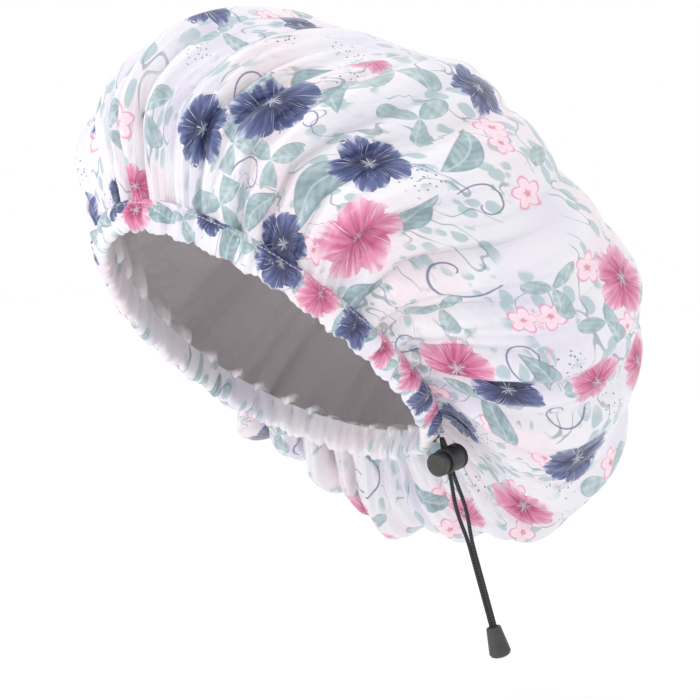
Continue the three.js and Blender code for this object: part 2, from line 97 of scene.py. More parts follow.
def gridFaces(rows, columns):
    # each row of the grid closes into a ring
    faces = []
    for row in range(rows - 1):
        low, high = row * columns, (row + 1) * columns
        for column in range(columns):
            after = (column + 1) % columns
            faces.append((low + column, low + after, high + after, high + column))
    return faces


def lengthsAlong(line):
    return np.concatenate([[0], np.cumsum(np.linalg.norm(np.diff(line, axis=0), axis=1))])


def putUv(piece, name, perPoint):
    mesh = piece.data
    layer = mesh.uv_layers.new(name=name)
    corner = np.empty(len(mesh.loops), dtype=np.int32)
    mesh.loops.foreach_get("vertex_index", corner)
    layer.data.foreach_set("uv", np.asarray(perPoint, dtype=np.float32)[corner].ravel())


def putValues(piece, name, values, kind="FLOAT"):
    layer = piece.data.attributes.new(name, kind, "POINT")
    values = np.asarray(values, dtype=np.float32).ravel()
    layer.data.foreach_set("value" if kind == "FLOAT" else "vector", values)


# the head opening, the casing and the balloon of cloth, in millimetres, as the solids have them
cap = {
    "halfDepth": 84, "halfWidth": 70, "rise": 58.5, "templeDip": 6,
    "foreheadLean": 0.12, "napeLean": 0.33, "templeLean": 0.625, "templeFlare": 0.2,
    "casingHeight": 12, "seamLift": 1.5, "seamBlend": 0.3,
    "crownFront": 85, "crownBack": 204, "crownTop": 155, "crownDroop": 108, "crownHalfWidth": 128,
    "sideSag": 10, "sagTurn": 118 / 360, "sagSpread": 26 / 360,
    # the middle outline from brow to nape, as shares of the crown's four reaches
    "outline": [
        (-1, 0.586), (-0.977, 0.745), (-0.648, 0.911), (-0.045, 1), (0.238, 0.968), (0.524, 0.668),
        (0.791, 0.376), (0.942, 0.064), (1, -0.37), (0.908, -0.833), (0.757, -1), (0.636, -0.861),
        (0.573, -0.648), (0.5, -0.481),
    ],
    "widths": [0.715, 0.87, 1, 0.977, 0.8, 0.592, 0.308, 0],
    "sagFade": [0, 1, 0.8, 0.35, 0, 0, 0, 0, 0],
}


def stack(x, y, z):
    return np.stack(np.broadcast_arrays(np.asarray(x, float), y, z), -1)


def hemPoint(turn):
    turn = np.asarray(turn, float)
    return stack(cap["halfWidth"] * np.sin(turn), -cap["halfDepth"] * np.cos(turn),
                 cap["rise"] * np.cos(turn) - cap["templeDip"] * np.sin(turn) ** 2)


def casingUp(turn):
    middle = (cap["foreheadLean"] + cap["napeLean"]) / 2
    swing = (cap["napeLean"] - cap["foreheadLean"]) / 2
    lean = middle - swing * np.cos(turn) + (cap["templeLean"] - middle) * np.sin(turn) ** 2
    return unit(stack(cap["templeFlare"] * np.sin(turn), lean, 1.0))


def hemDirection(turn):
    return unit(stack(cap["halfWidth"] * np.cos(turn), cap["halfDepth"] * np.sin(turn),
                      -cap["rise"] * np.sin(turn) - 2 * cap["templeDip"] * np.sin(turn) * np.cos(turn)))


def casingOut(turn):
    return unit(np.cross(hemDirection(turn), casingUp(turn)))


def casingPoint(turn, out, up):
    sideways = casingOut(turn) * np.asarray(out)[..., None]
    return hemPoint(turn) + sideways + casingUp(turn) * np.asarray(up)[..., None]


def alongTable(table, share):
    # a smooth curve through evenly spaced values
    table = np.asarray(table, float)
    place = np.clip(share, 0, 1) * (len(table) - 1)
    start = np.minimum(place.astype(int), len(table) - 2)
    rest = place - start
    here, after = table[start], table[start + 1]
    slopeHere = (after - table[np.maximum(start - 1, 0)]) / 2
    slopeAfter = (table[np.minimum(start + 2, len(table) - 1)] - here) / 2
    square, cube = rest ** 2, rest ** 3
    return (here * (2 * cube - 3 * square + 1) + slopeHere * (cube - 2 * square + rest)
            + after * (3 * square - 2 * cube) + slopeAfter * (cube - square))


def throughPoints(points, samples=40):
    # a centripetal curve, which doesn't overshoot where the points are unevenly spaced
    points = np.asarray(points, float)
    line = np.vstack([2 * points[0] - points[1], points, 2 * points[-1] - points[-2]])
    share = np.linspace(0, 1, samples, endpoint=False)[:, None]
    stretches = []
    for a, b, c, d in zip(line, line[1:], line[2:], line[3:]):
        ab, bc, cd = (math.sqrt(np.linalg.norm(q - p)) for p, q in ((a, b), (b, c), (c, d)))
        leave = ((b - a) / ab - (c - a) / (ab + bc) + (c - b) / bc) * bc
        arrive = ((c - b) / bc - (d - b) / (bc + cd) + (d - c) / cd) * bc
        stretches.append(b + leave * share + (-3 * b + 3 * c - 2 * leave - arrive) * share ** 2
                         + (2 * b - 2 * c + leave + arrive) * share ** 3)
    return np.vstack(stretches + [points[-1:]])


seamUp = cap["casingHeight"] + cap["seamLift"]


def seamPoint(turn):
    turn = np.asarray(turn, float)
    return casingPoint(turn, np.zeros_like(turn), np.full_like(turn, seamUp))


def outlinePoint(y, z):
    depth = cap["crownFront"] if y < 0 else cap["crownBack"]
    height = cap["crownDroop"] if z < 0 else cap["crownTop"]
    return 0, y * depth, z * height


middleLine = throughPoints(
    [seamPoint(0.0)] + [outlinePoint(y, z) for y, z in cap["outline"]] + [seamPoint(math.pi)])
middleLengths = lengthsAlong(middleLine)
middleLengths /= middleLengths[-1]
halfWidths = [float(seamPoint(math.pi / 2)[0])] + [share * cap["crownHalfWidth"] for share in cap["widths"]]


def onMiddleLine(share):
    return np.stack([np.interp(share, middleLengths, middleLine[:, axis]) for axis in range(3)], -1)


def balloonPoint(turn, rise):
    front, back = onMiddleLine(rise / 2), onMiddleLine(1 - rise / 2)
    point = (front + back) / 2 + (front - back) / 2 * np.cos(turn)[..., None]
    point[..., 0] = alongTable(halfWidths, rise) * np.sin(turn)
    return point


def crownPoint(turn, rise):
    turn, rise = np.broadcast_arrays(np.asarray(turn, float), np.asarray(rise, float))
    blend = np.maximum(0, 1 - rise / cap["seamBlend"]) ** 2
    toSeam = seamPoint(turn) - balloonPoint(turn, np.zeros_like(rise))
    point = balloonPoint(turn, rise) + toSeam * blend[..., None]
    fromEar = (np.arccos(np.cos(turn)) / fullTurn - cap["sagTurn"]) / cap["sagSpread"]
    point[..., 2] -= cap["sideSag"] * alongTable(cap["sagFade"], rise) * np.exp(-(fromEar ** 2))
    return point


def crownNormal(turn, rise):
    probe = 0.004
    across = crownPoint(turn + probe, rise) - crownPoint(turn - probe, rise)
    along = crownPoint(turn, np.minimum(rise + probe, 1)) - crownPoint(turn, np.maximum(rise - probe, 0))
    return unit(np.cross(across, along))


def linear(code):
    parts = [int(code[i:i + 2], 16) / 255 for i in (1, 3, 5)]
    return tuple(p / 12.92 if p <= 0.04045 else ((p + 0.055) / 1.055) ** 2.4 for p in parts) + (1.0,)


# what a node's first plain word sets
settingNames = {
    "Attribute": "attribute_name", "UVMap": "uv_map", "Math": "operation", "Mix": "data_type",
    "MapRange": "interpolation_type", "TexWave": "bands_direction",
}


def addNode(tree, kind, *inputs, stops=(), **named):
    # one node, its setting, a ramp's (place, colour) stops, and its inputs in their order or by name
    node = tree.nodes.new("ShaderNode" + kind)
    if inputs and isinstance(inputs[0], str):
        setattr(node, settingNames[kind], inputs[0])
        inputs = inputs[1:]
    for _ in stops[2:]:
        node.color_ramp.elements.new(1)
    for element, (place, colour) in zip(node.color_ramp.elements if stops else (), stops):
        element.position, element.color = place, linear(colour)
    sockets = [socket for socket in node.inputs if socket.enabled][:len(inputs)]
    sockets += [node.inputs[name.replace("_", " ")] for name in named]
    for socket, value in zip(sockets, [*inputs, *named.values()]):
        if isinstance(value, bpy.types.Node):
            value = next(output for output in value.outputs if output.enabled)
        if isinstance(value, bpy.types.NodeSocket):
            tree.links.new(value, socket)
        else:
            socket.default_value = value
    return node


def newMaterial(name):
    # an empty material, and addNode for its own tree
    material = bpy.data.materials.new(name)
    material.use_nodes = True
    material.node_tree.nodes.clear()
    return material, functools.partial(addNode, material.node_tree)


def dress(piece, material):
    piece.data.materials.clear()
    piece.data.materials.append(material)


# the drawcord's two ends, in millimetres, from where they leave the casing, and the turn of the lock on them
tail = {
    "exitTurn": 140 / 360 * fullTurn, "exitOut": 6.8, "cordUp": 5, "length": 100, "lean": 0.276,
    "turn": 50 / 360 * fullTurn, "pitch": 2.3, "bow": 3.2, "bowStart": 17, "bowEnd": 56, "twist": 8,
    "width": 2.2, "thickness": 1.35, "steps": 46,
}


def tailFrame():
    turn = tail["exitTurn"]
    exitPoint = casingPoint(turn, tail["exitOut"], tail["cordUp"])
    along = hemDirection(turn)
    swing = unit(np.array([along[0], along[1], 0]))
    outward = np.cross(swing, [0, 0, 1])
    down = unit(outward * tail["lean"] - np.array([0, 0, 1]))
    plunger = np.cross(swing, down) * math.cos(tail["turn"]) - swing * math.sin(tail["turn"])
    return exitPoint, np.stack([np.cross(plunger, down), -down, plunger])


exitPoint, tailAxes = tailFrame()


def strandLine(side):
    down = np.linspace(0, tail["length"], tail["steps"])
    twist = tail["turn"] * np.maximum(0, 1 - down / tail["twist"]) ** 2
    bow = np.clip((down - tail["bowStart"]) / (tail["bowEnd"] - tail["bowStart"]), 0, 1)
    spread = (tail["pitch"] + tail["bow"] * np.sin(math.pi * bow) ** 2) / 2
    local = stack(side * spread * np.cos(twist), -down, side * spread * np.sin(twist))
    return exitPoint + local @ tailAxes


def ribbon(name, line, across, sides=14):
    # an oval tube: across is the way that its width lies
    width, thickness = tail["width"], tail["thickness"]
    along = unit(np.gradient(line, axis=0))
    wide = unit(across - along * np.sum(along * across, axis=1, keepdims=True))
    thin = np.cross(along, wide)
    angle = np.arange(sides) * fullTurn / sides
    ring = (wide[:, None] * (np.cos(angle) * width / 2)[None, :, None]
            + thin[:, None] * (np.sin(angle) * thickness / 2)[None, :, None])
    points = (line[:, None] + ring).reshape(-1, 3)
    faces = gridFaces(len(line), sides)
    faces += [tuple(reversed(range(sides))), tuple(len(points) - sides + i for i in range(sides))]
    piece = newPiece(name, points, faces)
    lengths = lengthsAlong(line)
    uv = np.stack([np.tile(angle / fullTurn, len(line)), np.repeat(lengths, sides)], -1)
    putUv(piece, "lengthwise", uv)
    return piece, float(lengths[-1])


strands = []
for label, side in (("Left", 1), ("Right", -1)):
    line = strandLine(side)
    strand, strandLength = ribbon("cordStrand" + label, line, np.tile(tailAxes[0], (len(line), 1)))
    strands.append((strand, line, strandLength))
print("cords placed")

# gathers: pinched at the stitches, puffed between them, a little uneven as sewing is
gathers = {"count": 36, "drift": [(3, 0.026, 1.0), (7, 0.018, 0.5), (13, 0.012, 2.0)]}


def unevenTurn(turn):
    return turn + sum(depth * np.sin(times * turn + start) for times, depth, start in gathers["drift"])


def puff(turn):
    return np.abs(np.cos(unevenTurn(turn) * gathers["count"] / 2))


def smoothNoise(turn, rise, seed, fewest, most, waves=10):
    # a sum of waves, each fewest to most times round the cap, so that it closes on itself
    pick = np.random.default_rng(seed)
    total = 0
    for _ in range(waves):
        times = pick.integers(fewest, most)
        wave = np.sin(times * turn + pick.uniform(-9, 9) * rise + pick.uniform(0, fullTurn))
        total = total + wave * pick.uniform(0.5, 1)
    return total / math.sqrt(waves)


casing = {
    "columns": 864, "height": 12, "round": 548, "fullness": 1.5, "flatWidth": 0.032, "flatLength": 0.76,
    "puff": 5.6, "pinch": 2.5, "puffCurve": 0.7, "bellyCurve": 0.8, "onCord": 2.6, "cordZone": (2.5, 9),
    "cordSoftness": 3, "uneven": 0.7, "swell": 0.7, "drop": 2.3, "dropHeight": 4, "ragged": 0.6, "wavy": 0.5,
    "crinkle": 2.8, "crinkleUp": 0.25, "crinkleLength": 45, "crinklePinched": 0.75, "crinkleCalmed": 0.3,
    # seed, fewest and most waves round the cap, and how many waves are added
    "wavyNoise": (5, 4, 16), "raggedNoise": (8, 60, 150), "crinkleNoise": (11, 40, 120, 14),
    # how much of the pinch, the swell and the crinkle each face has, and where its own crinkle starts
    "outerFace": {"pinch": 1, "swell": 1, "crinkle": 1, "start": 0},
    "innerFace": {"pinch": -0.12, "swell": 0.25, "crinkle": 0.6, "start": 2},
    "slotLength": 9.4, "slotHeight": 4.6, "slotRadius": 78,
    # out and up of the section's points: the outer face from the seam down to the fold
    "outerSection": [
        (1.6, 12.9), (2.3, 12.2), (3.0, 10.9), (4.3, 9.4), (5.3, 7.6), (5.6, 5.8), (5.2, 3.9), (4.2, 2.1),
        (2.9, 0.7), (1.3, -0.1),
    ],
    # and the inner face from the fold up
    "innerSection": [
        (-0.6, -0.1), (-2.0, 0.8), (-2.5, 2.4), (-2.7, 4.6), (-2.6, 7.0), (-2.2, 9.4), (-1.9, 11.2),
        (-1.7, 12.6),
    ],
}


def casingRow(turn, full, out, up):
    # one line of the section, taken all round
    face = casing["outerFace"] if out > 0 else casing["innerFace"]
    wavy = smoothNoise(turn, 0 * turn, *casing["wavyNoise"])
    ragged = smoothNoise(turn, 0 * turn, *casing["raggedNoise"])
    belly = math.sin(math.pi * min(max(up / casing["height"], 0), 1)) ** casing["bellyCurve"]
    swell = (casing["pinch"] - casing["puff"]) * (1 - full) * belly * face["pinch"]
    swell = swell + (wavy * casing["uneven"] + full * casing["swell"]) * belly * face["swell"]
    level = np.full_like(turn, up / casing["crinkleLength"] + face["start"])
    crinkled = casing["crinklePinched"] - casing["crinkleCalmed"] * full
    crinkle = smoothNoise(turn, level, *casing["crinkleNoise"])
    crinkle = crinkle * casing["crinkle"] * belly * crinkled * face["crinkle"]
    foot = max(0, 1 - up / casing["dropHeight"])
    lower = (casing["ragged"] * ragged + casing["wavy"] * wavy - casing["drop"] * full) * foot
    reach = out + swell + crinkle
    low, high = casing["cordZone"]
    if out > 0 and low < up < high:
        # where it is pinched the cloth lies on the drawcord
        softness, onCord = casing["cordSoftness"], casing["onCord"]
        reach = onCord + np.logaddexp(0, softness * (reach - onCord)) / softness
    return casingPoint(turn, reach, up + lower + casing["crinkleUp"] * crinkle)


def makeCasing():
    turn = np.arange(casing["columns"]) * fullTurn / casing["columns"]
    full = puff(turn) ** casing["puffCurve"]
    section = np.array(casing["outerSection"] + casing["innerSection"])
    grid = np.stack([casingRow(turn, full, out, up) for out, up in section])
    # the cord's two ends leave through a slot in the outer face
    lastOuter = len(casing["outerSection"]) - 1
    faces = []
    for face in gridFaces(len(section), casing["columns"]):
        row, column = divmod(face[0], casing["columns"])
        fromSlot = (turn[column] - tail["exitTurn"]) * casing["slotRadius"] / (casing["slotLength"] / 2)
        level = section[row:row + 2, 1].mean() - tail["cordUp"]
        if row >= lastOuter or math.hypot(fromSlot, level / (casing["slotHeight"] / 2)) > 1:
            faces.append(face)
    piece = newPiece("edgeCasing", grid.reshape(-1, 3), faces)
    girth = lengthsAlong(section)
    around = casing["round"] * casing["fullness"] * turn / fullTurn
    putUv(piece, "flatCloth", np.stack([np.tile(around, len(section)), np.repeat(girth, len(turn))], -1))
    putValues(piece, "girth", np.repeat(girth, len(turn)))
    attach(piece, "cap")
    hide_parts("edge_casing")
    return piece, grid, girth / girth[lastOuter]


# the outer cloth: pleats start at the gathers and are let loose by a cloth simulation
cloth = {
    "flatWidth": 0.55, "flatLength": 0.63, "layer": 0.55, "tuck": 2.6, "tuckRise": -0.012,
    "edgeOut": 0.25, "edgePuff": 0.9, "edgeCrinkle": 0.65, "edgeCrinkles": 90,
    "topRise": 0.985, "riseCurve": 1.25, "seamRise": 0.03, "leastRise": 0.02,
    # depths in millimetres, each with how it fades from the seam to the pole
    "pleat": 3.2, "pleatFade": [0.9, 1.6, 1.25, 0.6, 0.2, 0, 0, 0, 0],
    "fold": 4.2, "foldFade": [0, 0.5, 1, 0.9, 0.6, 0.3, 0, 0, 0], "folds": 18,
    "billow": 3.4, "billowFade": [0, 0.3, 0.7, 1, 1, 0.8, 0.5, 0.2, 0], "billows": 7,
    "crease": 6.0, "creaseFade": [0.6, 1.1, 1.05, 0.75, 0.42, 0.28, 0.2, 0.1, 0],
    "fine": 2.2, "fineFade": [1, 1.2, 0.85, 0.38, 0.16, 0.08, 0.03, 0, 0],
    "sway": 0.8, "swayFade": [0, 0.6, 1, 1, 1, 1, 0.8, 0.5, 0],
    "calmForehead": 0.35, "unevenPleats": 0.22, "unevenFolds": 0.3,
    # how a ridge stands out: the power that rounds it, its whole height and how much of that is below
    "pleatRidge": (0.8, 2, 1.1), "foldRidge": (0.85, 2.1, 1.15),
    # how a crease is cut: how soft its valley is, the power that rounds its ridge and how much is below
    "creaseShape": (0.012, 0.38, 0.62), "fineShape": (0.03, 0.4, 0.6),
    # seed, fewest and most waves round the cap
    "pleatNoise": (22, 3, 11), "foldNoise": (31, 2, 8), "leanNoise": (27, 2, 7), "creaseNoise": (23, 12, 34),
    "fineNoise": (28, 30, 75), "swayNoise": (24, 5, 15),
    "exitSpread": 24 / 360, "exitHollow": 2, "exitFade": [0, 1, 0.8, 0.35, 0, 0, 0, 0, 0],
}


def riseAt(share):
    # rings lie closer together near the seam
    return cloth["topRise"] * share ** cloth["riseCurve"]


def ridges(turns, power, height, below):
    return height * np.abs(np.cos(turns)) ** power - below


def creases(noise, soft, power, below):
    return (noise ** 2 + soft) ** power - below


def clothRelief(turn, rise, pleatScale=1.0, foldScale=1.0):
    # pleats at every gather, folds of two of them with creased valleys, slow billows and fine wrinkles
    uneven = 1 + np.sin(5 * turn + 1) / 4
    calm = 1 - cloth["calmForehead"] * np.maximum(0, np.cos(turn)) ** 2
    strength = uneven * (1 + cloth["unevenPleats"] * smoothNoise(turn, rise, *cloth["pleatNoise"]))
    pleatTurn = unevenTurn(turn + 0.03 * rise) * (gathers["count"] / 2)
    pleat = cloth["pleat"] * alongTable(cloth["pleatFade"], rise) * ridges(pleatTurn, *cloth["pleatRidge"])
    foldTurn = cloth["folds"] * turn + 0.5 * np.sin(3 * turn + 4 * rise)
    fold = cloth["fold"] * alongTable(cloth["foldFade"], rise) * ridges(foldTurn / 2, *cloth["foldRidge"])
    fold = fold * (2 - uneven) * (1 + cloth["unevenFolds"] * smoothNoise(turn, rise, *cloth["foldNoise"]))
    billowTurn = cloth["billows"] * turn + 2 + 0.5 * np.sin(turn + 1) * rise
    billow = cloth["billow"] * alongTable(cloth["billowFade"], rise) * np.sin(billowTurn)
    # rounded ridges with sharp valleys, which run out of the gathers and lean with the folds
    lean = turn + 0.06 * rise * smoothNoise(turn, rise, *cloth["leanNoise"])
    crease = creases(smoothNoise(lean, 0.35 * rise, *cloth["creaseNoise"]), *cloth["creaseShape"])
    fine = creases(smoothNoise(lean, 0.5 * rise, *cloth["fineNoise"]), *cloth["fineShape"])
    sway = smoothNoise(turn, 1.6 * rise, *cloth["swayNoise"])
    wrinkle = (cloth["crease"] * alongTable(cloth["creaseFade"], rise) * crease
               + cloth["fine"] * alongTable(cloth["fineFade"], rise) * fine
               + cloth["sway"] * alongTable(cloth["swayFade"], rise) * sway)
    # behind the cord lock the cloth lies flat and a little hollow
    fromExit = (turn - tail["exitTurn"]) / fullTurn / cloth["exitSpread"]
    still = np.exp(-fromExit ** 2) * alongTable(cloth["exitFade"], np.maximum(rise, 1 / 8))
    gathered = pleat * pleatScale * strength * calm + fold * foldScale + billow
    return gathered * (1 - still) - cloth["exitHollow"] * still + wrinkle * (1 - 0.5 * still)


def clothPoints(turn, rise, pleatScale=1.0, foldScale=1.0):
    normal = crownNormal(turn, np.maximum(rise, cloth["leastRise"]))
    blend = np.clip(rise / cloth["seamRise"], 0, 1)[..., None]
    normal = unit(normal * blend + casingOut(turn) * (1 - blend))
    relief = cloth["layer"] + clothRelief(turn, rise, pleatScale, foldScale)
    return crownPoint(turn, rise) + normal * relief[..., None]


def tuckedEdge(turn):
    # the raw edge stands between the casing's legs, crinkled small
    low = cap["casingHeight"] - cloth["tuck"]
    crinkle = cloth["edgeCrinkle"] * np.sin(cloth["edgeCrinkles"] * unevenTurn(turn))
    out = cloth["edgeOut"] + cloth["edgePuff"] * (puff(turn) - 0.5) + crinkle
    return casingPoint(turn, out, np.full_like(turn, low))


# the cloth simulation: a net of up x around points, with fewer near the pole, moves the fine grid
slack = {
    "around": 384, "up": 52, "fineAround": 720, "fineUp": 124,
    "thinning": [(0.42, 1), (0.68, 2), (0.85, 4), (0.94, 8), (1.01, 16)],
    "restPleat": 1.9, "restFold": 1.5, "frames": 30, "quality": 5, "pressure": 3, "gravity": 0.15,
    "mass": 0.12, "tension": 15, "shear": 4, "bending": 0.08, "damping": 2,
    "hold": 0.3, "seamHeld": 0.012, "outMost": 8.5, "inMost": 13,
}


def netRings():
    # first point, count and rise of each ring of the net, and its faces
    rings, faces, total = [], [], 0
    for rise in riseAt(np.linspace(0, 1, slack["up"])):
        count = slack["around"] // next(step for limit, step in slack["thinning"] if rise < limit)
        rings.append((total, count, rise))
        total += count
    for (low, lowCount, _), (high, highCount, _) in zip(rings, rings[1:]):
        for i in range(highCount):
            j = (i + 1) % highCount
            if lowCount == highCount:
                faces.append((low + i, low + j, high + j, high + i))
            else:
                a, b, c = low + 2 * i, low + 2 * i + 1, low + (2 * i + 2) % lowCount
                faces += [(a, b, high + i), (b, high + j, high + i), (b, c, high + j)]
    first, count, _ = rings[-1]
    faces += [(first + i, first + (i + 1) % count, total) for i in range(count)]
    return rings, faces


def holdNet(net, rise):
    # the seam is held fast, and the rest more and more firmly towards the pole
    group = net.vertex_groups.new(name="hold")
    hold = np.round(np.where(rise < slack["seamHeld"], 1.0, slack["hold"] * np.clip(0.35 + rise, 0, 1)), 2)
    for value in np.unique(hold):
        group.add([int(i) for i in np.where(hold == value)[0]], float(value), "REPLACE")


def inflate(net, cutShape):
    modifier = net.modifiers.new("relax", "CLOTH")
    settings = modifier.settings
    settings.quality = slack["quality"]
    settings.mass = slack["mass"]
    settings.tension_stiffness = settings.compression_stiffness = slack["tension"]
    settings.shear_stiffness = slack["shear"]
    settings.bending_stiffness = slack["bending"]
    settings.air_damping = slack["damping"]
    settings.use_pressure = True
    settings.uniform_pressure_force = slack["pressure"]
    settings.vertex_group_mass = "hold"
    settings.rest_shape_key = cutShape
    settings.effector_weights.gravity = slack["gravity"]
    modifier.collision_settings.use_collision = False
    modifier.point_cache.frame_start, modifier.point_cache.frame_end = 1, slack["frames"]
    for step in range(1, slack["frames"] + 1):
        bpy.context.scene.frame_set(step)
    settled = np.empty(len(net.data.vertices) * 3, dtype=np.float32)
    net.evaluated_get(bpy.context.evaluated_depsgraph_get()).data.vertices.foreach_get("co", settled)
    bpy.context.scene.frame_set(1)
    return settled.reshape(-1, 3) / mm


def relaxedMove():
    # the net is inflated, held at the seam, with more cloth round it than it needs
    rings, faces = netRings()
    turn = np.concatenate([np.arange(count) * fullTurn / count for _, count, _ in rings] + [[0.0]])
    rise = np.concatenate([np.full(count, level) for _, count, level in rings] + [[1.0]])
    start = clothPoints(turn, rise)
    rest = clothPoints(turn, rise, slack["restPleat"], slack["restFold"])
    net = newPiece("clothNet", start, faces)
    net.shape_key_add(name="Basis")
    cutShape = net.shape_key_add(name="cutShape")
    cutShape.data.foreach_set("co", (rest * mm).astype(np.float32).ravel())
    holdNet(net, rise)
    move = inflate(net, cutShape) - start
    bpy.data.objects.remove(net)
    moved = np.percentile(np.linalg.norm(move, axis=1), [50, 90, 99, 100])
    print("cloth moved", np.round(moved, 1).tolist(), "mm")
    # each ring's move is carried to the fine rings by its waves, and between rings by a smooth curve
    fine = []
    for first, count, _ in rings:
        waves = np.fft.rfft(move[first:first + count], axis=0)
        full = np.zeros((slack["fineAround"] // 2 + 1, 3), complex)
        full[:count // 2] = waves[:count // 2]
        fine.append(np.fft.irfft(full, slack["fineAround"], axis=0) * slack["fineAround"] / count)
    level = np.linspace(0, 1, slack["fineUp"])
    weights = np.stack([alongTable(row, level) for row in np.eye(len(rings))])
    return np.tensordot(weights.T, np.stack(fine), axes=1)


def poleFaces(rows, columns):
    # triangles from the last ring to the pole, which is the point after it
    last = (rows - 1) * columns
    return [(last + i, last + (i + 1) % columns, last + columns) for i in range(columns)]


def makeCloth():
    turn = np.arange(slack["fineAround"]) * fullTurn / slack["fineAround"]
    grid, levels = np.meshgrid(turn, riseAt(np.linspace(0, 1, slack["fineUp"])))
    points = clothPoints(grid, levels)
    move = relaxedMove()
    # the cloth stays near the balloon that it fills
    normal = crownNormal(grid, np.maximum(levels, cloth["leastRise"]))
    along = np.sum(move * normal, axis=-1, keepdims=True)
    points = points + move + normal * (np.clip(along, -slack["inMost"], slack["outMost"]) - along)
    points = np.concatenate([tuckedEdge(turn)[None], points])
    rises = np.concatenate([[cloth["tuckRise"]], levels[:, 0]])
    rows, columns = points.shape[:2]
    every = np.vstack([points.reshape(-1, 3), points[-1].mean(axis=0)])
    piece = newPiece("outerCloth", every, gridFaces(rows, columns) + poleFaces(rows, columns))
    # where each point lies on the flat cut, in millimetres: an oval as long as the cap is from brow to nape
    reach = (1 - rises)[:, None]
    halfWidth, halfLength = cloth["flatWidth"] / 2 / mm, cloth["flatLength"] / 2 / mm
    flat = np.stack([reach * np.sin(turn) * halfWidth, -reach * np.cos(turn) * halfLength], -1)
    flat = np.vstack([flat.reshape(-1, 2), [[0, 0]]])
    putUv(piece, "flatCloth", flat)
    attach(piece, "cap")
    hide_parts("outer_shell")
    return piece, points, flat, rises


outerCloth, clothGrid, flatXy, clothRises = makeCloth()
print("outer cloth settled")

# how far the lining lies inside the outer cloth, in millimetres, at given rings from its edge up
lining = {"rings": [0, 1, 4], "depths": [0.3, 0.5, 1.2]}


def makeLining():
    # the lining follows the outer cloth from inside, on every second ring of its grid
    rows, columns = clothGrid.shape[:2]
    normals = np.empty(len(outerCloth.data.vertices) * 3, dtype=np.float32)
    outerCloth.data.vertices.foreach_get("normal", normals)
    depth = np.interp(np.arange(rows), lining["rings"], lining["depths"])[:, None, None]
    inside = clothGrid - depth * normals.reshape(-1, 3)[:-1].reshape(rows, columns, 3)
    inside = np.concatenate([inside[:1], inside[1::2]])
    flat = flatXy[:-1].reshape(rows, columns, 2)
    flat = np.concatenate([flat[:1], flat[1::2]]).reshape(-1, 2)
    rows = len(inside)
    faces = [tuple(reversed(face)) for face in gridFaces(rows, columns)]
    faces += [(b, a, pole) for a, b, pole in poleFaces(rows, columns)]
    piece = newPiece("liningCloth", np.vstack([inside.reshape(-1, 3), inside[-1].mean(axis=0)]), faces)
    putUv(piece, "flatCloth", np.vstack([flat, [[0, 0]]]))
    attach(piece, "cap")
    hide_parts("lining")
    return piece


liningCloth = makeLining()
edgeCasing, casingGrid, casingShares = makeCasing()
print("lining and casing made")


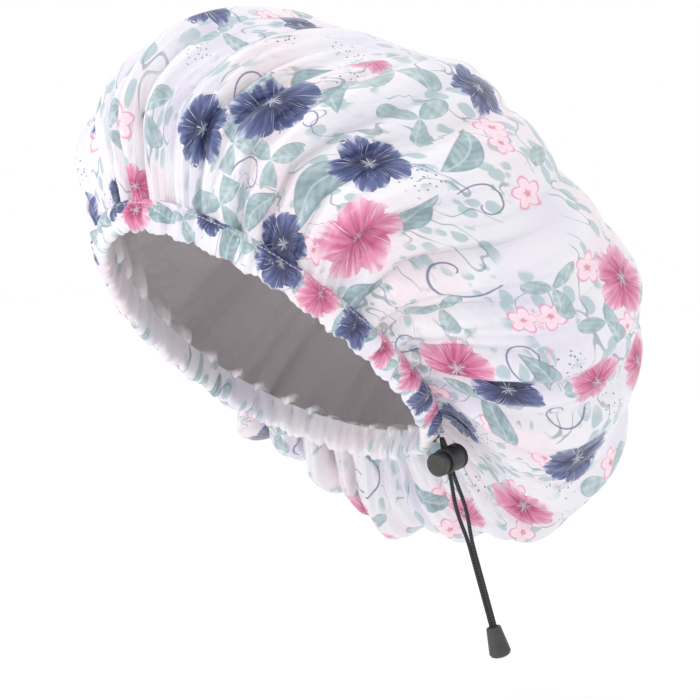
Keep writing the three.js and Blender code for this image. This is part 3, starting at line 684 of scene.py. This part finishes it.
# the print, with motifs of its own: kind, turn in degrees from the brow, share of the way from seam to pole,
# half size in millimetres and twist in degrees
printed = {
    "blooms": [
        (0, 31.5, 0.205, 25, 10), (0, 22, 0.121, 19, 60), (0, 53.5, 0.227, 20, -20), (0, 50, 0.02, 17, 35),
        (0, 104.5, 0.212, 20, 80), (0, 125, 0.32, 22, -50), (0, 8.5, 0.452, 13, 15), (1, 64.5, 0.115, 26, 15),
        (1, 99, 0.128, 21, -30), (1, 359.5, 0.02, 12, 40), (1, 170, 0.205, 16, 10), (1, 32.5, 0.377, 11, 70),
        (0, 219, 0.54, 14, 120), (0, 346, 0.02, 10, 30),
    ],
    "leaves": [
        (0, 51, 0.148, 26, 80), (0, 25.5, 0.197, 20, 110), (1, 31, 0.121, 20, 20), (1, 6, 0.121, 18, 60),
        (1, 7, 0.296, 20, 10), (1, 38, 0.368, 24, 40), (1, 48.5, 0.336, 20, -20), (0, 58, 0.352, 20, -60),
        (1, 64, 0.522, 20, 30), (0, 41, 0.054, 16, 60), (1, 31, 0.027, 20, 75), (0, 29.5, 0.296, 18, 100),
        (0, 66.5, 0.219, 20, -70), (0, 115.5, 0.176, 20, 30), (1, 86.5, 0.344, 18, 0), (1, 104, 0.36, 22, 40),
        (0, 180.5, 0.176, 17, -30), (0, 73.5, 0.02, 17, 70), (0, 100, 0.28, 18, 20), (1, 40, 0.128, 20, 50),
        (1, 282, 0.418, 18, -40), (0, 107.5, 0.128, 15, 60), (1, 96, 0.393, 17, 10),
        (1, 350.5, 0.102, 16, 80), (0, 38, 0.265, 16, 130), (1, 87, 0.148, 16, 10),
    ],
    "sprigs": [
        (0, 79, 0.212, 22, -120), (0, 68, 0.328, 16, 40), (0, 97, 0.265, 15, 160), (0, 41, 0.444, 14, 80),
        (0, 37, 0.083, 12, 0), (0, 40, 0.197, 12, 60), (0, 92, 0.043, 12, 200), (1, 86.5, 0.418, 11, 0),
        (1, 69, 0.41, 12, 30), (1, 55, 0.435, 11, 10), (1, 90.5, 0.32, 10, 50), (1, 90, 0.28, 10, 20),
        (1, 96, 0.461, 9, 0), (1, 99, 0.418, 9, 70), (1, 357.5, 0.108, 11, 20), (1, 311.5, 0.077, 8, 0),
        (1, 58.5, 0.418, 9, 30), (2, 99, 0.304, 14, 0), (2, 60.5, 0.265, 13, 30), (2, 36, 0.312, 12, 0),
        (2, 8, 0.234, 10, 0), (2, 129.5, 0.095, 12, 0),
    ],
    # on the casing the share runs from its seam to its edge
    "casingBlooms": [
        (0, 349, 0.2, 11, 30), (1, 1, 0.35, 14, 40), (0, 50, 0.25, 17, 35), (1, 63, 0.35, 15, 15),
        (0, 76, 0.55, 13, 60), (1, 87, 0.45, 10, 0), (1, 100, 0.2, 15, -30), (0, 111, 0.5, 14, 80),
        (1, 121, 0.5, 11, 20), (0, 129, 0.4, 12, 50), (0, 158, 0.4, 14, 0), (1, 180, 0.3, 13, 70),
        (0, 212, 0.5, 15, 20), (1, 238, 0.3, 13, 10), (0, 262, 0.4, 13, 90), (1, 290, 0.4, 15, 30),
        (0, 318, 0.3, 14, 10), (0, 28, 0.1, 10, 10),
    ],
    "casingLeaves": [
        (0, 11, 0.35, 14, 20), (1, 20, 0.4, 14, 60), (0, 35, 0.45, 15, 100), (1, 42, 0.25, 13, 30),
        (0, 56, 0.5, 13, 0), (1, 71, 0.3, 14, 80), (0, 81, 0.2, 12, 120), (1, 93, 0.5, 14, 30),
        (0, 97, 0.6, 11, 0), (1, 105, 0.5, 12, 20), (0, 116, 0.3, 13, 70), (1, 125, 0.6, 12, 10),
        (0, 135, 0.45, 12, 140), (1, 146, 0.35, 13, 40), (0, 168, 0.4, 14, 10), (1, 192, 0.4, 14, 60),
        (0, 202, 0.3, 13, 20), (1, 226, 0.4, 14, 10), (0, 250, 0.4, 14, 50), (1, 276, 0.4, 14, 0),
        (0, 304, 0.4, 14, 80), (1, 332, 0.4, 14, 20), (0, 341, 0.45, 12, 50),
    ],
    # round patches of plain ground, kept free of blooms and leaves
    "plain": [
        (9, 10.5, 0.134, 22, 0), (9, 358, 0.205, 20, 0), (9, 75.5, 0.32, 34, 0), (9, 76.5, 0.427, 24, 0),
        (9, 67, 0.257, 26, 0), (9, 83, 0.128, 20, 0), (9, 235, 0.522, 22, 0),
    ],
    # what is filled in for each kind: half sizes in millimetres, the room kept round them, tries and seed
    "filled": {
        "blooms": ([(16, 23), (17, 25)], 1.02, 420, 5),
        "leaves": ([(15, 22), (16, 24)], 0.94, 700, 6),
        "sprigs": ([(12, 20), (8, 11), (9, 14)], 1.02, 500, 7),
    },
    # how far a point starts from every motif, in half sizes
    "farAway": 9,
}


def clothMeasure(points):
    # millimetres of cloth along each ring and up each line of the grid
    step = np.linalg.norm(np.roll(points, -1, axis=1) - points, axis=-1)
    around = np.concatenate([np.zeros((len(points), 1)), np.cumsum(step, axis=1)[:, :-1]], axis=1)
    rungs = np.cumsum(np.linalg.norm(np.diff(points, axis=0), axis=-1), axis=0)
    return around, step.sum(axis=1)[:, None], np.concatenate([np.zeros((1, points.shape[1])), rungs])


def layMotifs(piece, name, motifs, points, rises):
    # every point of the cloth gets its place in the nearest motif, so that the print follows the folds
    around, whole, up = clothMeasure(points)
    columns = points.shape[1]
    spot, sort = np.full(points.shape, float(printed["farAway"])), np.zeros(around.shape)
    for kind, turn, rise, size, twist in motifs:
        column, row = round(turn / 360 * columns) % columns, int(np.argmin(np.abs(rises - rise)))
        x = (around - around[:, column:column + 1] + whole / 2) % whole - whole / 2
        y = up[:, column:column + 1] - up[row, column]
        cosine, sine = math.cos(math.radians(twist)), math.sin(math.radians(twist))
        placed = np.stack([x * cosine + y * sine, y * cosine - x * sine, np.hypot(x, y)], axis=-1) / size
        near = placed[..., 2] < spot[..., 2]
        spot[near], sort[near] = placed[near], kind
    # the pole, where a piece has one, is past the grid and lies in no motif
    past = len(piece.data.vertices) - sort.size
    spot = np.vstack([spot.reshape(-1, 3), np.full((past, 3), printed["farAway"])])
    putValues(piece, name + "Place", spot, "FLOAT_VECTOR")
    putValues(piece, name + "Kind", np.append(sort.ravel(), np.zeros(past)))


def fillMotifs(layer):
    # more motifs where the listed ones leave room, apart by their sizes on a rough map of the cloth
    sizes, gap, tries, seed = printed["filled"][layer]
    pick = np.random.default_rng(seed)
    others = printed[layer] + printed["plain"]
    taken = crownPoint(np.radians([other[1] for other in others]), np.array([other[2] for other in others]))
    reach = np.array([float(other[3]) for other in others])
    for _ in range(tries):
        turn, rise = pick.uniform(0, 360), pick.uniform(0.02, 0.93)
        kind = pick.integers(len(sizes))
        size, twist = pick.uniform(*sizes[kind]), pick.uniform(-180, 180)
        here = crownPoint(np.radians([turn]), np.array([rise]))
        if np.all(np.linalg.norm(taken - here, axis=1) > (size + reach) * gap):
            printed[layer].append((kind, turn, rise, size, twist))
            taken, reach = np.vstack([taken, here]), np.append(reach, size)


for layer, name in (("blooms", "bloom"), ("leaves", "leaf"), ("sprigs", "sprig")):
    fillMotifs(layer)
    layMotifs(outerCloth, name, printed[layer], clothGrid, clothRises)
    print("print laid out,", len(printed[layer]), layer)
layMotifs(edgeCasing, "bloom", printed["casingBlooms"], casingGrid, casingShares)
layMotifs(edgeCasing, "leaf", printed["casingLeaves"], casingGrid, casingShares)

# the print's colours, each list from a motif's middle to its edge or from dark to pale
inks = {
    "navy": ["#1A2045", "#28315E", "#3B4677", "#5F6A97", "#C3C8DC"],
    "pink": ["#7D2850", "#B84776", "#D2709A", "#E09AB8", "#F0D3DE"],
    "blossom": ["#D9B25F", "#D9759E", "#F7D4E0", "#F9E0E9", "#E79DBB"],
    "leaf": ["#7C979E", "#ABC1C7"], "mint": ["#91AAAF", "#BFD1D5"], "leafLine": "#637F8A", "rib": "#CBDADF",
    "line": "#5A648F", "throat": "#D3D8E8", "lavender": "#E1DDEA", "white": "#EAE8EE", "blush": "#EBE0E6",
    "lining": "#F3EEF0", "thread": "#DEDBE2",
}


# the motifs' own measures are shares of their half size, and "stops" are places on a colour ramp
bloom = {
    "petals": 5, "swirl": 0.35, "rounding": 0.55, "notch": 0.3, "waist": 0.66,
    "frill": 0.5, "edge": (1.17, 1.21),
    "veinsRound": 5.0, "veinsOut": 1.4, "veinNoise": (0.38, 0.64), "veinTone": (-0.14, 0.14),
    "creaseWidth": 0.5, "creaseTone": 0.3, "hatchFiner": 3.2, "hatchNoise": (0.62, 0.68), "hatchPale": 0.75,
    "fray": 0.9, "throat": (0.02, 0.13), "throatPale": 0.75,
    "navyStops": (0.05, 0.3, 0.55, 0.82, 1.0), "pinkStops": (0.0, 0.2, 0.48, 0.78, 1.0),
}


def bloomInk(add, under):
    # five overlapping petals with a frayed pale star in the throat, veins that run out and a frilled edge
    place = add("Attribute", "bloomPlace").outputs["Vector"]
    kind = add("Attribute", "bloomKind").outputs["Fac"]
    x, y, away = add("SeparateXYZ", place).outputs
    angle = add("Math", "ARCTAN2", y, x)
    bent = add("Math", "MULTIPLY_ADD", away, bloom["swirl"], angle)
    lobe = add("Math", "COSINE", add("Math", "MULTIPLY", bent, bloom["petals"] / 2))
    lobe = add("Math", "ABSOLUTE", lobe)
    soft = add("Math", "POWER", lobe, bloom["rounding"])
    reach = add("Math", "MULTIPLY_ADD", soft, bloom["notch"], bloom["waist"])
    share = add("Math", "DIVIDE", away, reach)
    frill = add("TexNoise", Vector=place, Scale=3.0, Detail=4.0, Roughness=0.6)
    edge = add("Math", "MULTIPLY_ADD", frill, bloom["frill"], share)
    mask = add("MapRange", "SMOOTHSTEP", edge, *bloom["edge"], 1.0, 0.0)
    # veins are noise that is finer round the bloom than outwards
    fan = add("CombineXYZ", add("Math", "MULTIPLY", angle, bloom["veinsRound"]),
              add("Math", "MULTIPLY", away, bloom["veinsOut"]), kind)
    veins = add("TexNoise", Vector=fan, Scale=1.0, Detail=2.0)
    veins = add("MapRange", veins, *bloom["veinNoise"], *bloom["veinTone"])
    crease = add("MapRange", "SMOOTHSTEP", lobe, 0.0, bloom["creaseWidth"], -bloom["creaseTone"], 0.0)
    tone = add("Math", "ADD", add("Math", "ADD", share, veins), crease)
    navy = add("ValToRGB", tone, stops=[*zip(bloom["navyStops"], inks["navy"])])
    pink = add("ValToRGB", tone, stops=[*zip(bloom["pinkStops"], inks["pink"])])
    petal = add("Mix", "RGBA", kind, navy, pink)
    # fine pale hatching on the outer half of the petals
    finer = add("Mapping", Vector=fan, Scale=(bloom["hatchFiner"], 1.0, 1.0))
    hatch = add("TexNoise", Vector=finer, Scale=1.0, Detail=1.0)
    hatch = add("MapRange", "SMOOTHSTEP", hatch, *bloom["hatchNoise"], 0.0, bloom["hatchPale"])
    outward = add("MapRange", share, 0.25, 0.7, 0.0, 1.0)
    hatch = add("Math", "MULTIPLY", hatch, outward)
    petal = add("Mix", "RGBA", hatch, petal, linear(inks["white"]))
    frayed = add("Math", "MULTIPLY_ADD", veins, bloom["fray"], away)
    throat = add("MapRange", "SMOOTHSTEP", frayed, *bloom["throat"], bloom["throatPale"], 0.0)
    petal = add("Mix", "RGBA", throat, petal, linear(inks["throat"]))
    return add("Mix", "RGBA", mask, under, petal)


leaf = {
    "bend": 0.35, "halfWidth": 0.38, "taper": 0.42, "leaflets": 3, "narrowing": 2.2, "reach": 1.05,
    "soft": 0.05, "strength": 0.92, "ribs": 26.0, "ribTone": 0.05, "midrib": (0.015, 0.035),
    "midribPale": 0.55, "outline": (0.035, 0.075), "outlineDark": 0.6, "stops": (0.35, 0.65),
}


def leafInk(add, under):
    # pointed leaves with a pale midrib, and sprays of three narrow ones, both with a drawn outline
    place = add("Attribute", "leafPlace").outputs["Vector"]
    kind = add("Attribute", "leafKind").outputs["Fac"]
    x, y, away = add("SeparateXYZ", place).outputs
    square = add("Math", "MULTIPLY", x, x)
    aside = add("Math", "ABSOLUTE", add("Math", "MULTIPLY_ADD", square, leaf["bend"], y))
    half = add("Math", "MULTIPLY_ADD", square, -leaf["taper"], leaf["halfWidth"])
    blade = add("Math", "SUBTRACT", half, aside)
    thirds = add("Math", "MULTIPLY", add("Math", "ARCTAN2", y, x), leaf["leaflets"] / 2)
    lobe = add("Math", "ABSOLUTE", add("Math", "COSINE", thirds))
    spray = add("Math", "SUBTRACT", add("Math", "POWER", lobe, leaf["narrowing"]), away)
    inside = add("Mix", "FLOAT", kind, blade, spray)
    mask = add("MapRange", "SMOOTHSTEP", inside, 0.0, leaf["soft"], 0.0, leaf["strength"])
    near = add("Math", "LESS_THAN", away, leaf["reach"])
    mask = add("Math", "MULTIPLY", mask, near)
    wash = add("TexNoise", Vector=place, Scale=2.2, Detail=2.0)
    ribs = add("Math", "MULTIPLY", add("Math", "ADD", x, aside), leaf["ribs"])
    tone = add("Math", "MULTIPLY_ADD", add("Math", "SINE", ribs), leaf["ribTone"], wash)
    blue = add("ValToRGB", tone, stops=[*zip(leaf["stops"], inks["leaf"])])
    mint = add("ValToRGB", tone, stops=[*zip(leaf["stops"], inks["mint"])])
    colour = add("Mix", "RGBA", kind, blue, mint)
    midrib = add("MapRange", aside, *leaf["midrib"], leaf["midribPale"], 0.0)
    colour = add("Mix", "RGBA", midrib, colour, linear(inks["rib"]))
    outline = add("MapRange", "SMOOTHSTEP", inside, *leaf["outline"], leaf["outlineDark"], 0.0)
    colour = add("Mix", "RGBA", outline, colour, linear(inks["leafLine"]))
    return add("Mix", "RGBA", mask, under, colour)


sprig = {
    "curl": 0.16, "curlStart": 0.48, "line": (0.012, 0.05), "lineDark": 0.85, "petals": 5, "notch": 0.34,
    "waist": 0.5, "edge": (0.96, 1.04), "strength": 0.9, "stops": (0.0, 0.16, 0.3, 0.8, 0.9),
    "dots": 4.5, "dotEdge": (0.2, 0.28), "dotDark": 0.8, "disc": (0.8, 0.9),
}


def sprigInk(add, under):
    # thin curled tendrils, small outlined blossoms and dotted sprays
    place = add("Attribute", "sprigPlace").outputs["Vector"]
    kind = add("Attribute", "sprigKind").outputs["Fac"]
    x, y, away = add("SeparateXYZ", place).outputs
    angle = add("Math", "ARCTAN2", y, x)
    curl = add("Math", "MULTIPLY_ADD", angle, sprig["curl"], sprig["curlStart"])
    offCurl = add("Math", "ABSOLUTE", add("Math", "SUBTRACT", away, curl))
    tendril = add("MapRange", "SMOOTHSTEP", offCurl, *sprig["line"], sprig["lineDark"], 0.0)
    lobe = add("Math", "COSINE", add("Math", "MULTIPLY", angle, sprig["petals"] / 2))
    lobe = add("Math", "ABSOLUTE", lobe)
    reach = add("Math", "MULTIPLY_ADD", lobe, sprig["notch"], sprig["waist"])
    share = add("Math", "DIVIDE", away, reach)
    blossom = add("ValToRGB", share, stops=[*zip(sprig["stops"], inks["blossom"])])
    petals = add("MapRange", "SMOOTHSTEP", share, *sprig["edge"], sprig["strength"], 0.0)
    dots = add("TexVoronoi", Vector=place, Scale=sprig["dots"])
    dots = add("MapRange", "SMOOTHSTEP", dots, *sprig["dotEdge"], sprig["dotDark"], 0.0)
    inDisc = add("MapRange", away, *sprig["disc"], 1.0, 0.0)
    dots = add("Math", "MULTIPLY", dots, inDisc)
    # kind 0 is a tendril, 1 a blossom and 2 a spray of dots
    isTendril = add("Math", "LESS_THAN", kind, 0.5)
    isDots = add("Math", "GREATER_THAN", kind, 1.5)
    mask = add("Mix", "FLOAT", isTendril, petals, tendril)
    mask = add("Mix", "FLOAT", isDots, mask, dots)
    isLine = add("Math", "MAXIMUM", isTendril, isDots)
    ink = add("Mix", "RGBA", isLine, blossom, linear(inks["line"]))
    return add("Mix", "RGBA", mask, under, ink)


# real sizes in millimetres of what is drawn on the flat satin; a cell is the width and the length of one
# repeat of a noise. Threads lie 0.2 mm apart and are drawn six times as coarse, so that they show.
satin = {
    "cloud": 83.33, "drift": 47.62, "leafCell": (5, 10.526), "stemCell": (20, 55.56),
    "thread": 1.2083, "threadDepth": 0.3, "creaseCell": (6.25, 22.22), "creaseDepth": 1.6,
    "stitch": 3, "stitchShare": 0.72, "stitchBelowSeam": 2.2, "stitchEdge": (0.2, 0.4),
    # the girth below the seam where the casing's print ends
    "printEnd": (15.5, 17.5),
}
# the noise values over which the washed-out leaves, their drifts and the stems fade
drawn = {"leaf": (0.34, 0.42), "drift": (0.45, 0.52), "stem": (0.004, 0.009)}
# at scale 1 a wave texture repeats at this distance
waveLength = {"X": fullTurn / 20, "DIAGONAL": fullTurn / 10}


def cellScale(cell):
    return (1 / cell[0], 1 / cell[1], 1)


def groundInk(add, flat):
    # white satin with faint blush and lavender clouds
    clouds = add("TexNoise", Vector=flat, Scale=1 / satin["cloud"], Detail=1.0)
    ground = add("ValToRGB", clouds,
                 stops=[(0.38, inks["lavender"]), (0.5, inks["white"]), (0.62, inks["blush"])])
    # and a washed-out foliage behind the rest, in drifts
    longer = add("Mapping", Vector=flat, Rotation=(0, 0, 0.5), Scale=cellScale(satin["leafCell"]))
    bent = add("TexNoise", Vector=longer, Scale=0.8, Detail=1.0).outputs["Color"]
    cells = add("TexVoronoi", Vector=add("Mix", "VECTOR", 0.35, longer, bent), Scale=1.0)
    blade = add("MapRange", "SMOOTHSTEP", cells, *drawn["leaf"], 0.85, 0.0)
    drift = add("TexNoise", Vector=flat, Scale=1 / satin["drift"], Detail=2.0)
    drift = add("MapRange", "SMOOTHSTEP", drift, *drawn["drift"], 0.0, 1.0)
    wash = add("Math", "MULTIPLY", blade, drift)
    ground = add("Mix", "RGBA", wash, ground, linear(inks["leaf"][1]))
    # with thin stems drawn through the same drifts
    stems = add("Mapping", Vector=flat, Rotation=(0, 0, -0.7), Scale=cellScale(satin["stemCell"]))
    stems = add("TexNoise", Vector=stems, Scale=1.0, Detail=1.5)
    offStem = add("Math", "ABSOLUTE", add("Math", "SUBTRACT", stems, 0.5))
    stem = add("MapRange", "SMOOTHSTEP", offStem, *drawn["stem"], 0.6, 0.0)
    stem = add("Math", "MULTIPLY", stem, drift)
    return add("Mix", "RGBA", stem, ground, linear(inks["leafLine"]))


def finish(add, **inputs):
    # the shader and the output that close every material
    add("OutputMaterial", Surface=add("BsdfPrincipled", **inputs))


def satinFinish(add, flat, colour, wrinkles):
    # warp-faced polyester satin, calendered: a soft broad gloss, fine threads and small creases that run out
    # from the gathers
    scale = waveLength["X"] / satin["thread"]
    threads = add("TexWave", "X", Vector=flat, Scale=scale, Distortion=1.2, Detail=1.0).outputs["Fac"]
    creased = add("Mapping", Vector=flat, Scale=cellScale(satin["creaseCell"]))
    creases = add("TexNoise", Vector=creased, Scale=1.0, Detail=3.0, Roughness=0.55)
    woven = add("Bump", Strength=0.08, Distance=satin["threadDepth"] * mm, Height=threads)
    folded = add("Bump", Strength=wrinkles, Distance=satin["creaseDepth"] * mm, Height=creases, Normal=woven)
    finish(add, Base_Color=colour, Roughness=0.29, IOR=1.5, Specular_IOR_Level=0.7, Sheen_Weight=0.2,
           Sheen_Roughness=0.4, Normal=folded)


# printed polyester satin: reads as a soft white shimmer under crisp coloured ink
printedSatin, add = newMaterial("printedPolyesterSatin")
flat = add("UVMap", "flatCloth")
ink = bloomInk(add, leafInk(add, sprigInk(add, groundInk(add, flat))))
satinFinish(add, flat, ink, 0.8)

# plain polyester lining satin: unprinted, a white with a touch of pink that turns grey in the cap's shade
plainLining, add = newMaterial("plainPolyesterLining")
satinFinish(add, add("UVMap", "flatCloth"), linear(inks["lining"]), 0.7)

# the same printed satin folded into a narrow binding: scraps of the motifs above a pale folded edge
casingSatin, add = newMaterial("foldedSatinBinding")
flat = add("UVMap", "flatCloth")
girth = add("Attribute", "girth").outputs["Fac"]
ground = groundInk(add, flat)
onFace = add("MapRange", girth, *satin["printEnd"], 1.0, 0.0)
ink = add("Mix", "RGBA", onFace, ground, bloomInk(add, leafInk(add, ground)))
# one row of lockstitch under the seam in white thread
along = add("SeparateXYZ", flat)
step = add("Math", "FRACT", add("Math", "DIVIDE", along, satin["stitch"]))
step = add("Math", "LESS_THAN", step, satin["stitchShare"])
offLine = add("Math", "ABSOLUTE", add("Math", "SUBTRACT", girth, satin["stitchBelowSeam"]))
stitch = add("MapRange", "SMOOTHSTEP", offLine, *satin["stitchEdge"], 0.6, 0.0)
stitch = add("Math", "MULTIPLY", stitch, step)
satinFinish(add, flat, add("Mix", "RGBA", stitch, ink, linear(inks["thread"])), 0.5)

# what the cord, the lock and the bell are made of, with their patterns in millimetres
trims = {
    "rib": 1.396, "ribDepth": 0.3, "cord": ["#1F1D1E", "#3A3738"],
    "grit": 0.5556, "gritDepth": 0.1, "smear": 6.25, "plastic": ["#353534", "#434241"],
    "steel": "#B9BCC0", "mouldRadius": 0.25,
}

# braided elastic drawcord: polyester over rubber, so it reads as matt, with a slanting rib
braid, add = newMaterial("braidedElasticCord")
scale = waveLength["DIAGONAL"] / trims["rib"]
lengthwise = add("UVMap", "lengthwise")
ribs = add("TexWave", "DIAGONAL", Vector=lengthwise, Scale=scale, Distortion=0.6).outputs["Fac"]
colour = add("ValToRGB", ribs, stops=[*zip((0.2, 0.8), trims["cord"])])
relief = add("Bump", Strength=0.6, Distance=trims["ribDepth"] * mm, Height=ribs)
finish(add, Base_Color=colour, Roughness=0.82, Sheen_Weight=0.15, Normal=relief)

# moulded acetal, spark-eroded mould: dark grey with a dull, faintly pebbled gloss, smoother in patches
moulded, add = newMaterial("mouldedAcetal")
place = add("TexCoord").outputs["Object"]
pebble = add("TexNoise", Vector=place, Scale=1 / (trims["grit"] * mm), Detail=2.0)
smear = add("TexNoise", Vector=place, Scale=1 / (trims["smear"] * mm), Detail=2.0)
colour = add("ValToRGB", smear, stops=[*zip((0.3, 0.7), trims["plastic"])])
dulled = add("MapRange", smear, 0.3, 0.7, 0.36, 0.5)
relief = add("Bump", Strength=0.25, Distance=trims["gritDepth"] * mm, Height=pebble)
finish(add, Base_Color=colour, Roughness=dulled, IOR=1.48, Normal=relief)

# drawn spring steel wire: bright grey metal with a smooth polish
wire, add = newMaterial("drawnSteelWire")
finish(add, Base_Color=linear(trims["steel"]), Metallic=1, Roughness=0.3)

nodes = frame["nodes"]
dressed = [
    (braid, [nodes["drawcord_loop"], nodes["cord_knot"]] + [strand for strand, _, _ in strands]),
    (moulded, [nodes["cord_end_bell"], nodes["lock_barrel"], nodes["lock_plunger"]]),
    (wire, [nodes["lock_spring"]]), (printedSatin, [outerCloth]), (plainLining, [liningCloth]),
    (casingSatin, [edgeCasing]),
]
for material, pieces in dressed:
    for piece in pieces:
        dress(piece, material)
for name in ("cord_end_bell", "lock_barrel", "lock_plunger"):
    edge = nodes[name].modifiers.new("mouldRadius", "BEVEL")
    edge.width, edge.segments = trims["mouldRadius"] * mm, 2
    edge.limit_method, edge.angle_limit = "ANGLE", math.radians(40)
print("pieces dressed")

# the spring gets a mesh of its own; the press axis, the top of the coil and the share it would keep with the
# button in are passed along but not used, so it does not shorten
press = next(joint for joint in frame["joints"] if joint["name"] == "button_press")
pressAxis = unit(np.array(press["axis"]))
coil = np.array([tuple(vertex.co) for vertex in nodes["lock_spring"].data.vertices])
along = coil @ pressAxis
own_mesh(nodes["lock_spring"], "button_press", axis=tuple(pressAxis), anchor=tuple(coil[along.argmax()]),
          keep=1 - press["range_m"][1] / np.ptp(along))
# what hangs on the two ends is listed with the left one
hung = [["cord_knot", "cord_end_bell", "lock_barrel", "lock_plunger", "lock_spring"], []]
for (strand, line, length), node, pieces in zip(strands, ("cord_strand_left", "cord_strand_right"), hung):
    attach(strand, "tail")
    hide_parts(node)
    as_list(pieces)

# pale floor, white surroundings and broad soft lights
studio = {
    "white": "#FFFFFF", "floorHeight": -0.215, "floorHalf": 4, "world": 1.0, "aim": (0, 0.05, 0.02),
    # name, place and width in metres, and power in watts
    "lights": [
        ("keySoftbox", (-0.25, -1.1, 1.15), 0.4, 4.5), ("fillSoftbox", (1.6, 0.2, 0.5), 1.1, 0.4),
        ("lowSoftbox", (-0.2, -1.3, -0.08), 0.5, 2.5), ("topSoftbox", (0.1, 0.3, 1.6), 1.0, 0.9),
    ],
}


def addLight(name, place, width, power):
    data = bpy.data.lights.new(name, "AREA")
    data.shape, data.size, data.energy = "DISK", width, power
    lamp = bpy.data.objects.new(name, data)
    lamp.location = place
    lamp.rotation_euler = (Vector(place) - Vector(studio["aim"])).to_track_quat("Z", "Y").to_euler()
    bpy.context.scene.collection.objects.link(lamp)


def addStudio():
    half = studio["floorHalf"] / mm
    corners = [(-half, -half, 0), (half, -half, 0), (half, half, 0), (-half, half, 0)]
    floor = newPiece("studioFloor", corners, [(0, 1, 2, 3)], smooth=False)
    floor.location.z = studio["floorHeight"]
    # matt white paper, which reads as one even white with the surroundings
    paper, add = newMaterial("matteStudioPaper")
    finish(add, Base_Color=linear(studio["white"]), Roughness=0.9)
    dress(floor, paper)
    world = bpy.data.worlds.new("studioWorld")
    world.use_nodes = True
    background = world.node_tree.nodes["Background"]
    background.inputs["Color"].default_value = linear(studio["white"])
    background.inputs["Strength"].default_value = studio["world"]
    bpy.context.scene.world = world
    for light in studio["lights"]:
        addLight(*light)
    bpy.context.scene.view_settings.view_transform = "Standard"


addStudio()
print("studio lit")
